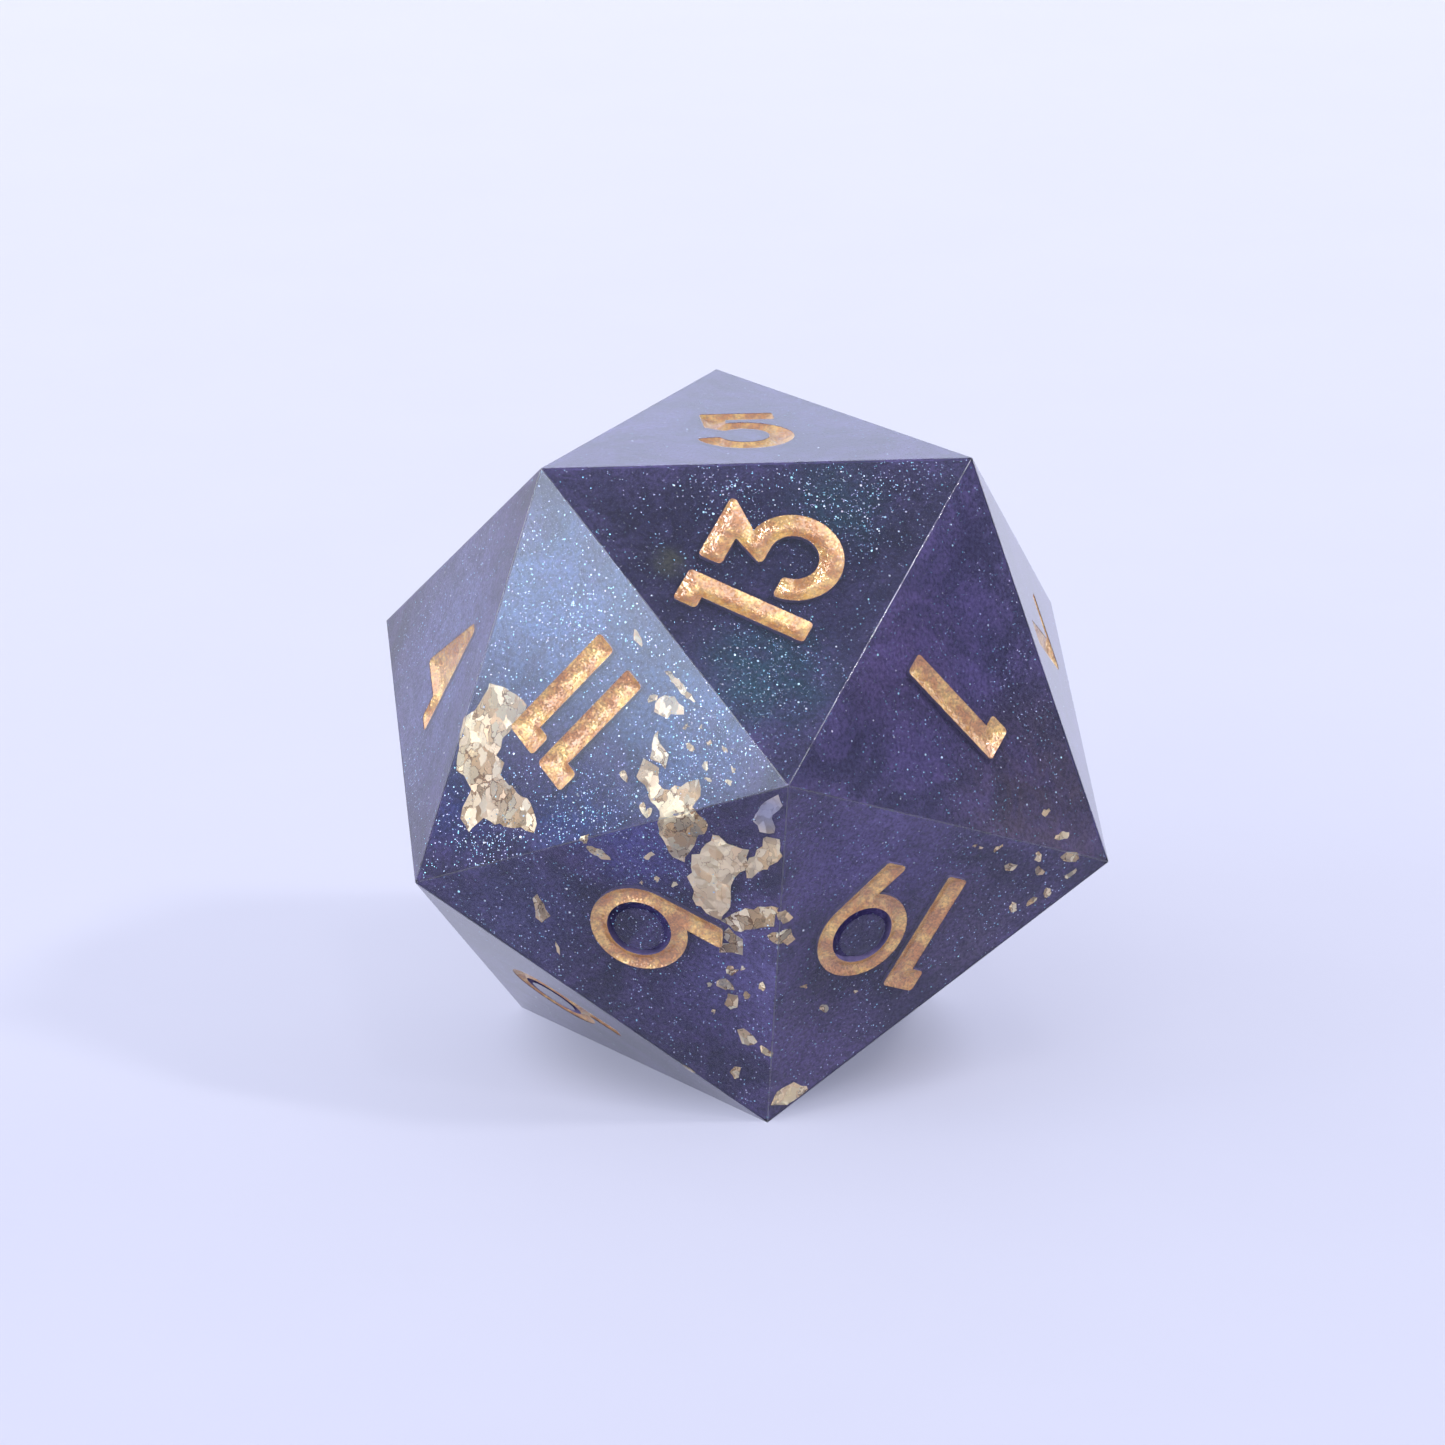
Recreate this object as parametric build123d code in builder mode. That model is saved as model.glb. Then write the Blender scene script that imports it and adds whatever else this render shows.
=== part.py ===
"""Twenty-sided polyhedral die, cast in resin, with painted numerals and gold leaf sealed inside.

The die rests on its 16 face with the 5 face on top.  The origin is the middle of the face it
rests on, Z points up, and every length is in millimetres.  Each physical piece (the resin
casting, the paint in each engraved number, each run of gold leaf) is exported on its own.
"""
import os
from math import cos, radians, sin, sqrt

from build123d import *

# ---- driving dimensions -------------------------------------------------------------------
ACROSS_FLATS = 22.0        # between two opposite faces, the usual size of a full-size d20
EDGE_BREAK = 0.06          # radius the polishing leaves along the sharp edges

DIGIT_HEIGHT = 4.55        # height of every digit
STROKE = 0.82              # width of the engraved strokes
BOWL_RADIUS = 1.68         # outer radius of the round strokes in 2, 3, 5, 6 and 9
DIGIT_GAP = 0.36           # clear space between the two digits of a number
CORNER_RADIUS = 0.14       # rounding of the outer corners of the strokes
ENGRAVING_DEPTH = 0.50     # how far the numbers are sunk into the faces

PAINT_DROP = 0.03          # rim of the paint below the face
DISH_INSET = 0.24          # from the edge of a stroke to the flat middle of the dished paint
DISH_DEPTH = 0.20          # how far the paint dips in the middle of a stroke
DISH_SLOPE = 0.13          # width and height of the sloping sides of the dip

LEAF_THICKNESS = 0.05      # crumpled gold leaf, several layers thick

# ---- the icosahedron ----------------------------------------------------------------------
GOLDEN = (1 + sqrt(5)) / 2
EDGE = ACROSS_FLATS * sqrt(3) / GOLDEN**2
CENTRE = Vector(0, 0, ACROSS_FLATS / 2)
CAP_RADIUS = EDGE / sqrt(3)                  # corners of the top and bottom faces
BELT_RADIUS = CAP_RADIUS * GOLDEN            # the six corners around the middle
BELT_RISE = EDGE / (2 * sqrt(3) * GOLDEN)    # their height above or below the centre

# Corner names: T top face, U upper belt, L lower belt, B bottom face, then the bearing in
# degrees from +X.
LAYERS = {
    "T": (CAP_RADIUS, ACROSS_FLATS / 2),
    "U": (BELT_RADIUS, BELT_RISE),
    "L": (BELT_RADIUS, -BELT_RISE),
    "B": (CAP_RADIUS, -ACROSS_FLATS / 2),
}

# Three corners of a face, the first being the one its number points up at.  Opposite faces
# add up to 21 and are each other's reflection through the centre.
NUMBERED_FACES = {
    1: ("L330", "T330", "U270"),
    3: ("L330", "B270", "B30"),
    4: ("T210", "U150", "L210"),
    5: ("T90", "T210", "T330"),
    6: ("B270", "B150", "L210"),
    7: ("U30", "T330", "L330"),
    9: ("L210", "U270", "B270"),
    11: ("L210", "T210", "U270"),
    13: ("T210", "T330", "U270"),
    19: ("B270", "U270", "L330"),
}
FACE_COUNT = 20

# ---- gold leaf ----------------------------------------------------------------------------
# Each flake: the face it lies under, where its middle is on that face (x to the right of the
# number, y up towards its first corner), length, width, turn in degrees, depth below the face.
LEAF_FLAKES = {
    "leaf_ridge": [
        (11, 0.2, 5.0, 1.9, 1.1, 75, 0.45),
        (11, -0.9, 4.0, 1.8, 0.9, 25, 0.45),
        (11, 0.5, 4.0, 1.7, 1.3, -20, 0.40),
        (11, 1.6, 4.1, 1.9, 1.3, -15, 0.45),
        (11, 2.2, 3.2, 1.8, 1.3, -60, 0.45),
        (11, 2.3, 2.1, 1.5, 1.2, 10, 0.45),
        (4, 4.1, 0.3, 1.0, 0.6, 60, 0.45),
    ],
    "leaf_trail": [
        (11, -2.9, 0.2, 0.5, 0.35, -10, 0.30),
        (11, -3.4, -0.7, 1.1, 0.9, 80, 0.35),
        (11, -2.9, -1.5, 1.0, 0.4, -35, 0.35),
        (11, -4.6, -0.9, 1.6, 1.1, -50, 0.40),
        (9, 4.6, -0.2, 1.2, 0.7, 25, 0.35),
        (9, 3.6, -0.6, 1.4, 0.9, 30, 0.35),
        (9, 4.6, -1.2, 1.4, 0.7, -15, 0.35),
    ],
    "leaf_veil": [
        (9, 2.3, -1.7, 2.4, 1.2, -5, 0.80),
        (9, 3.6, -2.2, 1.6, 1.0, -50, 0.80),
        (9, 4.3, -3.3, 1.9, 0.6, -35, 0.45),
        (9, 5.5, -3.5, 1.5, 0.6, -30, 0.80),
    ],
    "leaf_knot": [
        (9, 0.0, -2.8, 1.2, 0.8, -25, 0.80),
        (9, 1.2, -3.0, 1.2, 1.1, -40, 0.50),
        (9, 0.9, -1.3, 0.8, 0.4, 75, 0.80),
        (19, 3.9, 1.4, 1.1, 0.7, 20, 0.50),
        (19, 4.4, 0.6, 1.0, 0.5, -10, 0.50),
    ],
    "leaf_crumbs": [
        (9, -2.4, -2.7, 0.9, 0.6, 0, 0.35),
        (9, -1.7, -2.5, 0.7, 0.6, 45, 0.35),
        (9, -1.1, -2.6, 0.6, 0.4, -45, 0.30),
        (9, -2.0, -3.2, 0.4, 0.3, 0, 0.30),
        (9, -3.8, -3.3, 1.2, 0.6, 65, 0.35),
        (9, -5.4, -3.0, 0.7, 0.4, -15, 0.30),
    ],
    "leaf_foot": [
        (19, -0.2, 6.9, 1.4, 0.8, 60, 0.40),
        (9, -5.2, -1.6, 0.6, 0.4, 55, 0.35),
        (19, 0.5, 3.7, 0.5, 0.3, -15, 0.30),
    ],
    "leaf_shoulder": [
        (19, -5.6, -3.4, 0.8, 0.5, 30, 0.40),
        (19, -4.5, -3.5, 0.9, 0.5, -35, 0.35),
        (19, -4.6, -1.7, 0.5, 0.4, -30, 0.30),
        (19, -3.5, -3.1, 0.7, 0.4, 15, 0.30),
        (19, -2.5, -3.6, 0.6, 0.3, 50, 0.30),
        (1, 0.6, 6.3, 0.9, 0.5, -40, 0.35),
        (1, 0.5, 5.4, 0.6, 0.3, -20, 0.30),
    ],
    "leaf_deep": [
        (9, -0.1, 4.1, 1.9, 0.6, 20, 1.60),
        (9, 2.8, 2.1, 1.2, 0.5, 60, 0.40),
        (9, 3.1, 0.4, 0.5, 0.3, -40, 0.30),
        (11, -2.0, -2.4, 1.4, 0.6, 20, 0.90),
        (11, 0.4, -3.2, 0.7, 0.3, -10, 0.50),
        (13, -1.2, 3.0, 1.0, 0.6, 70, 2.20),
    ],
    "leaf_back": [
        (20, 3.0, -2.6, 1.6, 0.9, 20, 0.40),
        (20, 1.9, -3.3, 0.9, 0.5, -30, 0.35),
        (2, -3.1, 0.0, 1.5, 0.9, 55, 0.45),
        (2, -3.0, 1.2, 0.7, 0.5, 10, 0.35),
        (14, -0.3, 4.6, 1.8, 0.8, 70, 0.40),
        (14, 0.5, 4.4, 0.8, 0.5, -40, 0.35),
        (12, 2.6, 1.9, 1.2, 0.6, -60, 0.40),
        (17, -3.0, -2.8, 1.3, 0.6, -15, 0.40),
        (15, 0.2, 4.5, 1.2, 0.7, 65, 0.45),
        (8, 2.9, -2.4, 1.5, 0.8, 40, 0.40),
    ],
}
FLAKE_RAGGEDNESS = (1.0, 0.72, 0.95, 0.66, 0.9, 0.78, 1.0, 0.62, 0.86)
FLAKE_TILT = 8             # flakes lean this far out of the face's plane, in degrees


def corner(name):
    """Position of a named corner of the icosahedron."""
    radius, height = LAYERS[name[0]]
    return CENTRE + Vector(radius, 0, height).rotate(Axis.Z, float(name[1:]))


def face_corners(number):
    """The three corners of a numbered face, the one its number points up at first."""
    if number in NUMBERED_FACES:
        return [corner(name) for name in NUMBERED_FACES[number]]
    opposite = face_corners(FACE_COUNT + 1 - number)
    return [CENTRE * 2 - point for point in opposite]


def face_plane(number):
    """Plane on a numbered face: x along the number's baseline, z out of the die."""
    pointed, second, third = face_corners(number)
    middle = (pointed + second + third) / 3
    upward = pointed - middle
    outward = middle - CENTRE
    return Plane(origin=middle, x_dir=upward.cross(outward), z_dir=outward)


# ---- digits: each is drawn upright with its baseline on y = 0 -------------------------------
def bowl(start, sweep, radius=BOWL_RADIUS, middle=BOWL_RADIUS):
    """Round stroke running anticlockwise about a point above the baseline; angles in degrees."""
    with BuildSketch() as stroke:
        with BuildLine():
            outer = CenterArc((0, middle), radius, start, sweep)
            inner = CenterArc((0, middle), radius - STROKE, start, sweep)
            Line(outer @ 0, inner @ 0)
            Line(outer @ 1, inner @ 1)
        make_face()
    return stroke.sketch


def loop(radius, middle):
    """Closed round stroke about a point above the baseline."""
    with BuildSketch() as stroke:
        with Locations((0, middle)):
            Circle(radius)
            Circle(radius - STROKE, mode=Mode.SUBTRACT)
    return stroke.sketch


def zero():
    """An upright oval ring."""
    half_width = 1.5
    with BuildSketch() as digit:
        with Locations((0, DIGIT_HEIGHT / 2)):
            SlotOverall(DIGIT_HEIGHT, 2 * half_width, rotation=90)
            SlotOverall(
                DIGIT_HEIGHT - 2 * STROKE,
                2 * (half_width - STROKE),
                rotation=90,
                mode=Mode.SUBTRACT,
            )
    return digit.sketch


def one():
    """A stem with a short square flag at its top left."""
    flag_length = 0.48
    with BuildSketch() as digit:
        with Locations((0, DIGIT_HEIGHT / 2)):
            Rectangle(STROKE, DIGIT_HEIGHT)
        with Locations((-(STROKE + flag_length) / 2, DIGIT_HEIGHT - STROKE / 2)):
            Rectangle(flag_length, STROKE)
    return digit.sketch


def two():
    """A bowl whose tail runs down to the left, onto a level foot."""
    foot_left = -1.4
    foot_right = 1.5
    foot_inner = 0.45
    heel_height = 0.35
    tail_right = (1.28, 1.80)
    tail_left = (0.66, 2.32)
    with BuildSketch() as digit:
        add(bowl(-40, 215, middle=DIGIT_HEIGHT - BOWL_RADIUS))
        Polygon(
            (foot_left, 0),
            (foot_right, 0),
            (foot_right, STROKE),
            (foot_inner, STROKE),
            tail_right,
            tail_left,
            (foot_left, heel_height),
            align=None,
        )
    return digit.sketch


def three():
    """A level bar, folded back down to a bowl at a sharp inner corner."""
    bar_left = -1.4
    bar_right = 1.3
    bar_inner = -0.22
    waist_left = -0.78
    waist_right = 0.3
    bowl_top = 2 * BOWL_RADIUS
    bowl_overlap = 0.06
    with BuildSketch() as digit:
        add(bowl(-180, 270))
        Polygon(
            (bar_left, DIGIT_HEIGHT),
            (bar_left, DIGIT_HEIGHT - STROKE),
            (bar_inner, DIGIT_HEIGHT - STROKE),
            (waist_left, bowl_top - STROKE),
            (0, bowl_top - STROKE),
            (waist_right, bowl_top - bowl_overlap),
            (bar_right, DIGIT_HEIGHT),
            align=None,
        )
    return digit.sketch


def four():
    """A stem whose left side slopes down to the tip of a wedge."""
    stem_right = 0.95
    stem_left = stem_right - STROKE
    stem_top = 0.40
    wedge_left = -1.75
    wedge_height = 0.95
    wedge_tip = 0.15
    with BuildSketch() as digit:
        Polygon(
            (stem_left, 0),
            (stem_right, 0),
            (stem_right, DIGIT_HEIGHT),
            (stem_right - stem_top, DIGIT_HEIGHT),
            (wedge_left, wedge_height + wedge_tip),
            (wedge_left, wedge_height),
            (stem_left, wedge_height),
            align=None,
        )
    return digit.sketch


def five():
    """A level bar and a short stem over an open bowl."""
    stem_left = -1.25
    stem_foot = 2.30
    foot_rise = 0.5
    foot_inset = 0.2
    bar_right = 1.25
    with BuildSketch() as digit:
        add(bowl(-170, 305))
        Polygon(
            (stem_left, DIGIT_HEIGHT),
            (stem_left, stem_foot + foot_rise),
            (stem_left + STROKE - foot_inset, stem_foot),
            (stem_left + STROKE, DIGIT_HEIGHT - STROKE),
            (bar_right, DIGIT_HEIGHT - STROKE),
            (bar_right, DIGIT_HEIGHT),
            align=None,
        )
    return digit.sketch


def six():
    """The nine, turned half round."""
    with BuildSketch() as digit:
        with Locations((0, DIGIT_HEIGHT)):
            add(nine(), rotation=180)
    return digit.sketch


def seven():
    """A level bar with a leg sloping down to the left from its right end."""
    bar_left = -1.4
    bar_right = 1.35
    bar_inner = 0.15
    leg_left = -1.2
    leg_width = 0.88
    shoulder_drop = 0.55
    with BuildSketch() as digit:
        Polygon(
            (bar_left, DIGIT_HEIGHT),
            (bar_left, DIGIT_HEIGHT - STROKE),
            (bar_inner, DIGIT_HEIGHT - STROKE),
            (leg_left, 0),
            (leg_left + leg_width, 0),
            (bar_right, DIGIT_HEIGHT - shoulder_drop),
            (bar_right, DIGIT_HEIGHT),
            align=None,
        )
    return digit.sketch


def eight():
    """Two rings sharing a stroke, the lower one larger."""
    lower = 1.42
    upper = (DIGIT_HEIGHT + STROKE) / 2 - lower
    with BuildSketch() as digit:
        add(loop(lower, lower))
        add(loop(upper, DIGIT_HEIGHT - upper))
    return digit.sketch


def nine():
    """A ring with a straight tail that widens up into its right side."""
    middle = DIGIT_HEIGHT - BOWL_RADIUS
    foot_left = -0.16
    foot_right = 0.70
    tail_left = (0.42, middle - 1.45)
    tail_inner = (1.40, middle - 0.55)
    tail_right = (1.57, middle - 0.60)
    with BuildSketch() as digit:
        add(loop(BOWL_RADIUS, middle))
        Polygon(
            (foot_right, 0),
            (foot_left, 0),
            tail_left,
            tail_inner,
            tail_right,
            align=None,
        )
    return digit.sketch


DIGITS = (zero, one, two, three, four, five, six, seven, eight, nine)


def number_outline(number):
    """Outline of a whole number, centred on the origin, its outer corners rounded."""
    digits = [DIGITS[int(character)]() for character in str(number)]
    widths = [digit.bounding_box().size.X for digit in digits]
    pen = -(sum(widths) + DIGIT_GAP * (len(digits) - 1)) / 2
    with BuildSketch() as outline:
        for digit, width in zip(digits, widths):
            with Locations((pen - digit.bounding_box().min.X, -DIGIT_HEIGHT / 2)):
                add(digit)
            pen += width + DIGIT_GAP
        offset(amount=-CORNER_RADIUS)
        offset(amount=CORNER_RADIUS)
    return outline.sketch


# ---- pieces -------------------------------------------------------------------------------
def blank():
    """The uncut icosahedron: a ball sliced along its twenty faces, edges just broken."""
    with BuildPart() as cast:
        with Locations(CENTRE):
            Sphere(ACROSS_FLATS)
        for number in range(1, FACE_COUNT + 1):
            split(bisect_by=face_plane(number), keep=Keep.BOTTOM)
        fillet(cast.edges(), radius=EDGE_BREAK)
    return cast.part


def inner_edges(faces):
    """Edges around the holes in some faces."""
    return ShapeList(
        edge for face in faces for wire in face.inner_wires() for edge in wire.edges()
    )


def numeral_paint(number):
    """Gold paint filling one engraved number, its surface dished below the face."""
    face = face_plane(number)
    outline = number_outline(number)
    with BuildPart() as paint:
        with BuildSketch(face.offset(-ENGRAVING_DEPTH)):
            add(outline)
        extrude(amount=ENGRAVING_DEPTH - PAINT_DROP)
        with BuildSketch(face.offset(-PAINT_DROP)):
            add(outline)
            offset(amount=-DISH_INSET)
        extrude(amount=-DISH_DEPTH, mode=Mode.SUBTRACT)
        rim = paint.faces().group_by(Axis(face.origin, face.z_dir))[-1]
        chamfer(inner_edges(rim), length=DISH_SLOPE)
    return paint.part


def flake_corners(length, width):
    """Corners of a ragged flake inside a length by width oval."""
    corners = []
    for index, reach in enumerate(FLAKE_RAGGEDNESS):
        bearing = radians(index * 360 / len(FLAKE_RAGGEDNESS))
        corners.append((length / 2 * reach * cos(bearing), width / 2 * reach * sin(bearing)))
    return corners


def leaf_run(flakes):
    """One run of gold leaf: ragged flakes lying under the faces, fused where they overlap."""
    with BuildPart() as run:
        for index, (face, x, y, length, width, turn, depth) in enumerate(flakes):
            lean = FLAKE_TILT if index % 2 else -FLAKE_TILT
            under = face_plane(face).offset(-depth)
            seat = Plane(under.location * Location((x, y, 0), (lean, lean, turn)))
            with BuildSketch(seat):
                with BuildLine():
                    Polyline(flake_corners(length, width), close=True)
                make_face()
            extrude(amount=LEAF_THICKNESS)
    return run.part


def resin_casting(leaf_runs):
    """The casting: the blank with every number sunk into it, closed around the gold leaf."""
    with BuildPart() as casting:
        add(blank())
        for number in range(1, FACE_COUNT + 1):
            with BuildSketch(face_plane(number)):
                add(number_outline(number))
            extrude(amount=-ENGRAVING_DEPTH, mode=Mode.SUBTRACT)
        for run in leaf_runs:
            add(run, mode=Mode.SUBTRACT)
    return casting.part


def save(piece, name):
    """Writes one piece to its own file, under its own name."""
    piece.label = name
    export_step(piece, f"parts/{name}.step")


def main():
    os.makedirs("parts", exist_ok=True)
    leaf_runs = {name: leaf_run(flakes) for name, flakes in LEAF_FLAKES.items()}
    save(resin_casting(leaf_runs.values()), "resin_body")
    for number in range(1, FACE_COUNT + 1):
        save(numeral_paint(number), f"numeral_{number:02d}")
    for name, run in leaf_runs.items():
        save(run, name)


main()
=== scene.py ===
"""Looks of a hand-cast resin d20: see-through indigo resin, mica, gold leaf and gold paint.

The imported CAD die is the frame.  Its resin casting is shown as a clear, tinted skin around a
cloudy core; crumpled gold leaf and mica flakes lie between the two; the paint in each engraved
number gets a smooth, slightly sunken surface.  Lengths in tables are millimetres in the frame
of a numbered face: x to the right of the number, y up towards the corner it points at.
"""
import math
import random

import bmesh
import bpy
import numpy as np
from mathutils import Matrix, Vector, noise
from mathutils.geometry import delaunay_2d_cdt


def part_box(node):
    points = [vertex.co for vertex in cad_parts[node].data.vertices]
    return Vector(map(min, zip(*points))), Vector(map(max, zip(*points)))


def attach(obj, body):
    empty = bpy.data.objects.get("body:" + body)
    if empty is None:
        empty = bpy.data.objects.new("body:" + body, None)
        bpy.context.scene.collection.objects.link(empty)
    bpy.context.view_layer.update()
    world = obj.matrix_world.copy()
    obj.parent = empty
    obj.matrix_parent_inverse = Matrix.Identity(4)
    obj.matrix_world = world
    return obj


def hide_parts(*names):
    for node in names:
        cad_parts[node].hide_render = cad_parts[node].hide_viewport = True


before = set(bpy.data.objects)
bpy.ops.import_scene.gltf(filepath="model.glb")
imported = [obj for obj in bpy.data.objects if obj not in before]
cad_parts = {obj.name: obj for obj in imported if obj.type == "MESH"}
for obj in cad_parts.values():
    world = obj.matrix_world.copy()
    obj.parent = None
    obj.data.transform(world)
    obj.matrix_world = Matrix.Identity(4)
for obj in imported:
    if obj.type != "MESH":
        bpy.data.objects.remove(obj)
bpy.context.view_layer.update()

MM = 0.001
ROOT = "root"

# ---- the die's faces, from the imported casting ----
body_low, body_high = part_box("resin_body")
ACROSS_FLATS = body_high.z - body_low.z
CENTRE = Vector((0, 0, ACROSS_FLATS / 2))
GOLDEN = (1 + math.sqrt(5)) / 2
EDGE = ACROSS_FLATS * math.sqrt(3) / GOLDEN**2
CAP_RADIUS = EDGE / math.sqrt(3)
BELT_RADIUS = CAP_RADIUS * GOLDEN
BELT_RISE = EDGE / (2 * math.sqrt(3) * GOLDEN)
# Each corner is in one of four layers: distance from the upright axis, height over the middle.
LAYERS = {
    "T": (CAP_RADIUS, ACROSS_FLATS / 2),
    "U": (BELT_RADIUS, BELT_RISE),
    "L": (BELT_RADIUS, -BELT_RISE),
    "B": (CAP_RADIUS, -ACROSS_FLATS / 2),
}
# Corners of ten numbered faces, the one the number points up at first.  The other ten lie
# opposite them, and opposite numbers add up to 21.
NUMBERED_FACES = {
    1: ("L330", "T330", "U270"),
    3: ("L330", "B270", "B30"),
    4: ("T210", "U150", "L210"),
    5: ("T90", "T210", "T330"),
    6: ("B270", "B150", "L210"),
    7: ("U30", "T330", "L330"),
    9: ("L210", "U270", "B270"),
    11: ("L210", "T210", "U270"),
    13: ("T210", "T330", "U270"),
    19: ("B270", "U270", "L330"),
}
FACE_COUNT = 20
FACES = range(1, FACE_COUNT + 1)

# ---- depths inside the resin, in millimetres ----
CORE_DEPTH = 0.27          # the cloudy core lies this far under the middles of the faces,
CORE_DIP = 0.10            # up to this much further where it is uneven,
CORE_WAVE = 2.2            # in dips about this wide,
EDGE_DEPTH = 0.12          # and this far under the die's edges,
EDGE_SPREAD = 1.4          # which it rises to where a second face is nearer than this
LEAF_CLEARANCE = 0.09      # leaf and mica stay at least this far under every face
CORE_CLEARANCE = 0.03      # and this far above the core
STROKE_CLEARANCE = 0.05    # and this far from the engraved strokes
ROUNDED_DEPTH = 0.04       # the broken edges lie within this depth of a face
PAINT_OVERLAP = 0.012      # the paint bites this far into the walls of its engraving
PAINT_RIM = 0.015          # the paint meets the walls this far under the face
PAINT_DISH = 0.18          # how far the paint dips in the middle of a stroke
PAINT_ROUND = 0.5          # how rounded the dip is: 0 for a V, 1 for a bowl
PAINT_UNEVEN = 0.04        # how much that dip varies
PAINT_DEPTH = 0.515        # the paint's underside, just below the floor of the engraving
PAINT_REACH = 0.40         # half the width of a stroke, where the dip is deepest
PAINT_GRAIN = 0.10         # spacing of the points on the paint's surface
UNDERSIDE_GRAIN = 0.515    # and on its underside, which is hidden
PAINT_WAVE = 0.5           # width of the unevenness of the paint
PIGMENT_CELL = 0.060       # size of the mica specks in the resin and in the paint
PAINT_CRISP_ANGLE = 60     # its creases sharper than this many degrees stay crisp
SAME_PLACE = 0.0005        # points nearer to each other than this are one


def around(radius, bearing, height=0):
    """The point at a radius, a bearing in radians from +X, and a height."""
    return Vector((radius * math.cos(bearing), radius * math.sin(bearing), height))


def corner(name):
    """Position of a named corner: layer letter, then the bearing in degrees from +X."""
    radius, height = LAYERS[name[0]]
    return CENTRE + around(radius, math.radians(float(name[1:])), height)


def face_corners(number):
    """Corners of a numbered face, the one its number points up at first."""
    if number in NUMBERED_FACES:
        return [corner(name) for name in NUMBERED_FACES[number]]
    opposite = face_corners(FACE_COUNT + 1 - number)
    return [2 * CENTRE - point for point in opposite]


def face_matrix(number):
    """Takes a point in a face's frame, in millimetres, to the row frame in metres."""
    corners = face_corners(number)
    middle = sum(corners, Vector()) / 3
    out = (middle - CENTRE).normalized()
    up = (corners[0] - middle).normalized()
    right = up.cross(out)
    axes = Matrix((right, up, out)).transposed().to_4x4()
    return Matrix.Translation(middle) @ axes @ Matrix.Scale(MM, 4)


FACE_MATRICES = {number: face_matrix(number) for number in FACES}
FACE_NORMALS = np.array([tuple(FACE_MATRICES[n].col[2].to_3d().normalized()) for n in FACES])
FACE_MIDDLES = np.array([tuple(FACE_MATRICES[n].translation) for n in FACES])


def core_depth(point):
    """How far (mm) the cloudy core lies under a point of the die's surface."""
    depths = np.sort(((FACE_MIDDLES - np.array(point)) * FACE_NORMALS).sum(1)) / MM
    share = min(1.0, max(0.0, depths[1] / EDGE_SPREAD))
    rise = share * share * (3 - 2 * share)
    dip = CORE_DIP * (0.5 + 0.5 * noise.noise(point / (CORE_WAVE * MM)))
    return EDGE_DEPTH + rise * (CORE_DEPTH + dip - EDGE_DEPTH)


def keep_inside(point, clearance):
    """The point, pushed in until it is at least this far (mm) under every face."""
    for matrix in FACE_MATRICES.values():
        out = matrix.col[2].to_3d().normalized()
        depth = (matrix.translation - point).dot(out)
        if depth < clearance * MM:
            point = point - out * (clearance * MM - depth)
    return point


# ---- node helpers ----
def feed(tree, node, inputs):
    """Links each of a node's inputs that is given a socket, and sets the others' values."""
    for name, value in inputs.items():
        if isinstance(value, bpy.types.NodeSocket):
            tree.links.new(value, node.inputs[name])
        else:
            node.inputs[name].default_value = value


def put(tree, kind, inputs=None, **settings):
    """Adds a node with these inputs and settings."""
    made = tree.nodes.new(kind)
    for name, value in settings.items():
        setattr(made, name, value)
    feed(tree, made, inputs or {})
    return made


def new_material(name):
    """A material with its node tree and Principled shader."""
    material = bpy.data.materials.new(name)
    material.use_nodes = True
    tree = material.node_tree
    return material, tree, tree.nodes["Principled BSDF"]


def object_point(tree):
    """The shaded point in the object's own frame, in metres."""
    return put(tree, "ShaderNodeTexCoord").outputs["Object"]


def vector_math(tree, operation, first, second):
    """The vector that a vector operation makes of two vectors or sockets."""
    return put(tree, "ShaderNodeVectorMath", {0: first, 1: second}, operation=operation).outputs[0]


def noise_value(tree, size, detail=3.0, roughness=0.55, distortion=0.0, seed_offset=0.0):
    """Noise from 0 to 1 with features of about this size in millimetres."""
    texture = put(tree, "ShaderNodeTexNoise", {
        "Vector": vector_math(tree, "ADD", object_point(tree), (seed_offset,) * 3),
        "Scale": 1 / (size * MM),
        "Detail": detail,
        "Roughness": roughness,
        "Distortion": distortion,
    })
    return texture.outputs["Fac"]


def remap(tree, value, low, high, new_low=0.0, new_high=1.0, smooth=True):
    """Maps a value from one range to another, clamped."""
    ends = {"From Min": low, "From Max": high, "To Min": new_low, "To Max": new_high}
    kind = "SMOOTHSTEP" if smooth else "LINEAR"
    mapped = put(tree, "ShaderNodeMapRange", {"Value": value, **ends}, interpolation_type=kind)
    return mapped.outputs["Result"]


def math_node(tree, operation, first, second):
    """The result of a sum on two values or sockets."""
    return put(tree, "ShaderNodeMath", {0: first, 1: second}, operation=operation).outputs[0]


def mix_colours(tree, factor, first, second, blend="MIX"):
    """Mixes two colours; either may be a socket or an RGB triple."""
    first = (*first, 1.0) if isinstance(first, tuple) else first
    second = (*second, 1.0) if isinstance(second, tuple) else second
    made = put(tree, "ShaderNodeMix", data_type="RGBA", blend_type=blend)
    feed(tree, made, {0: factor, 6: first, 7: second})    # 6 and 7 are its colours
    return made.outputs[2]


def set_bump(tree, shader, height, strength, distance):
    """Feeds a height, in millimetres, into the shader's normal."""
    shape = {"Height": height, "Strength": strength, "Distance": distance * MM}
    feed(tree, shader, {"Normal": put(tree, "ShaderNodeBump", shape).outputs["Normal"]})


def pigment_cells(tree):
    """Tiny random cells, one to a speck of pigment."""
    cells = {"Vector": object_point(tree), "Scale": 1 / (PIGMENT_CELL * MM), "Randomness": 1.0}
    return put(tree, "ShaderNodeTexVoronoi", cells)


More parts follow.
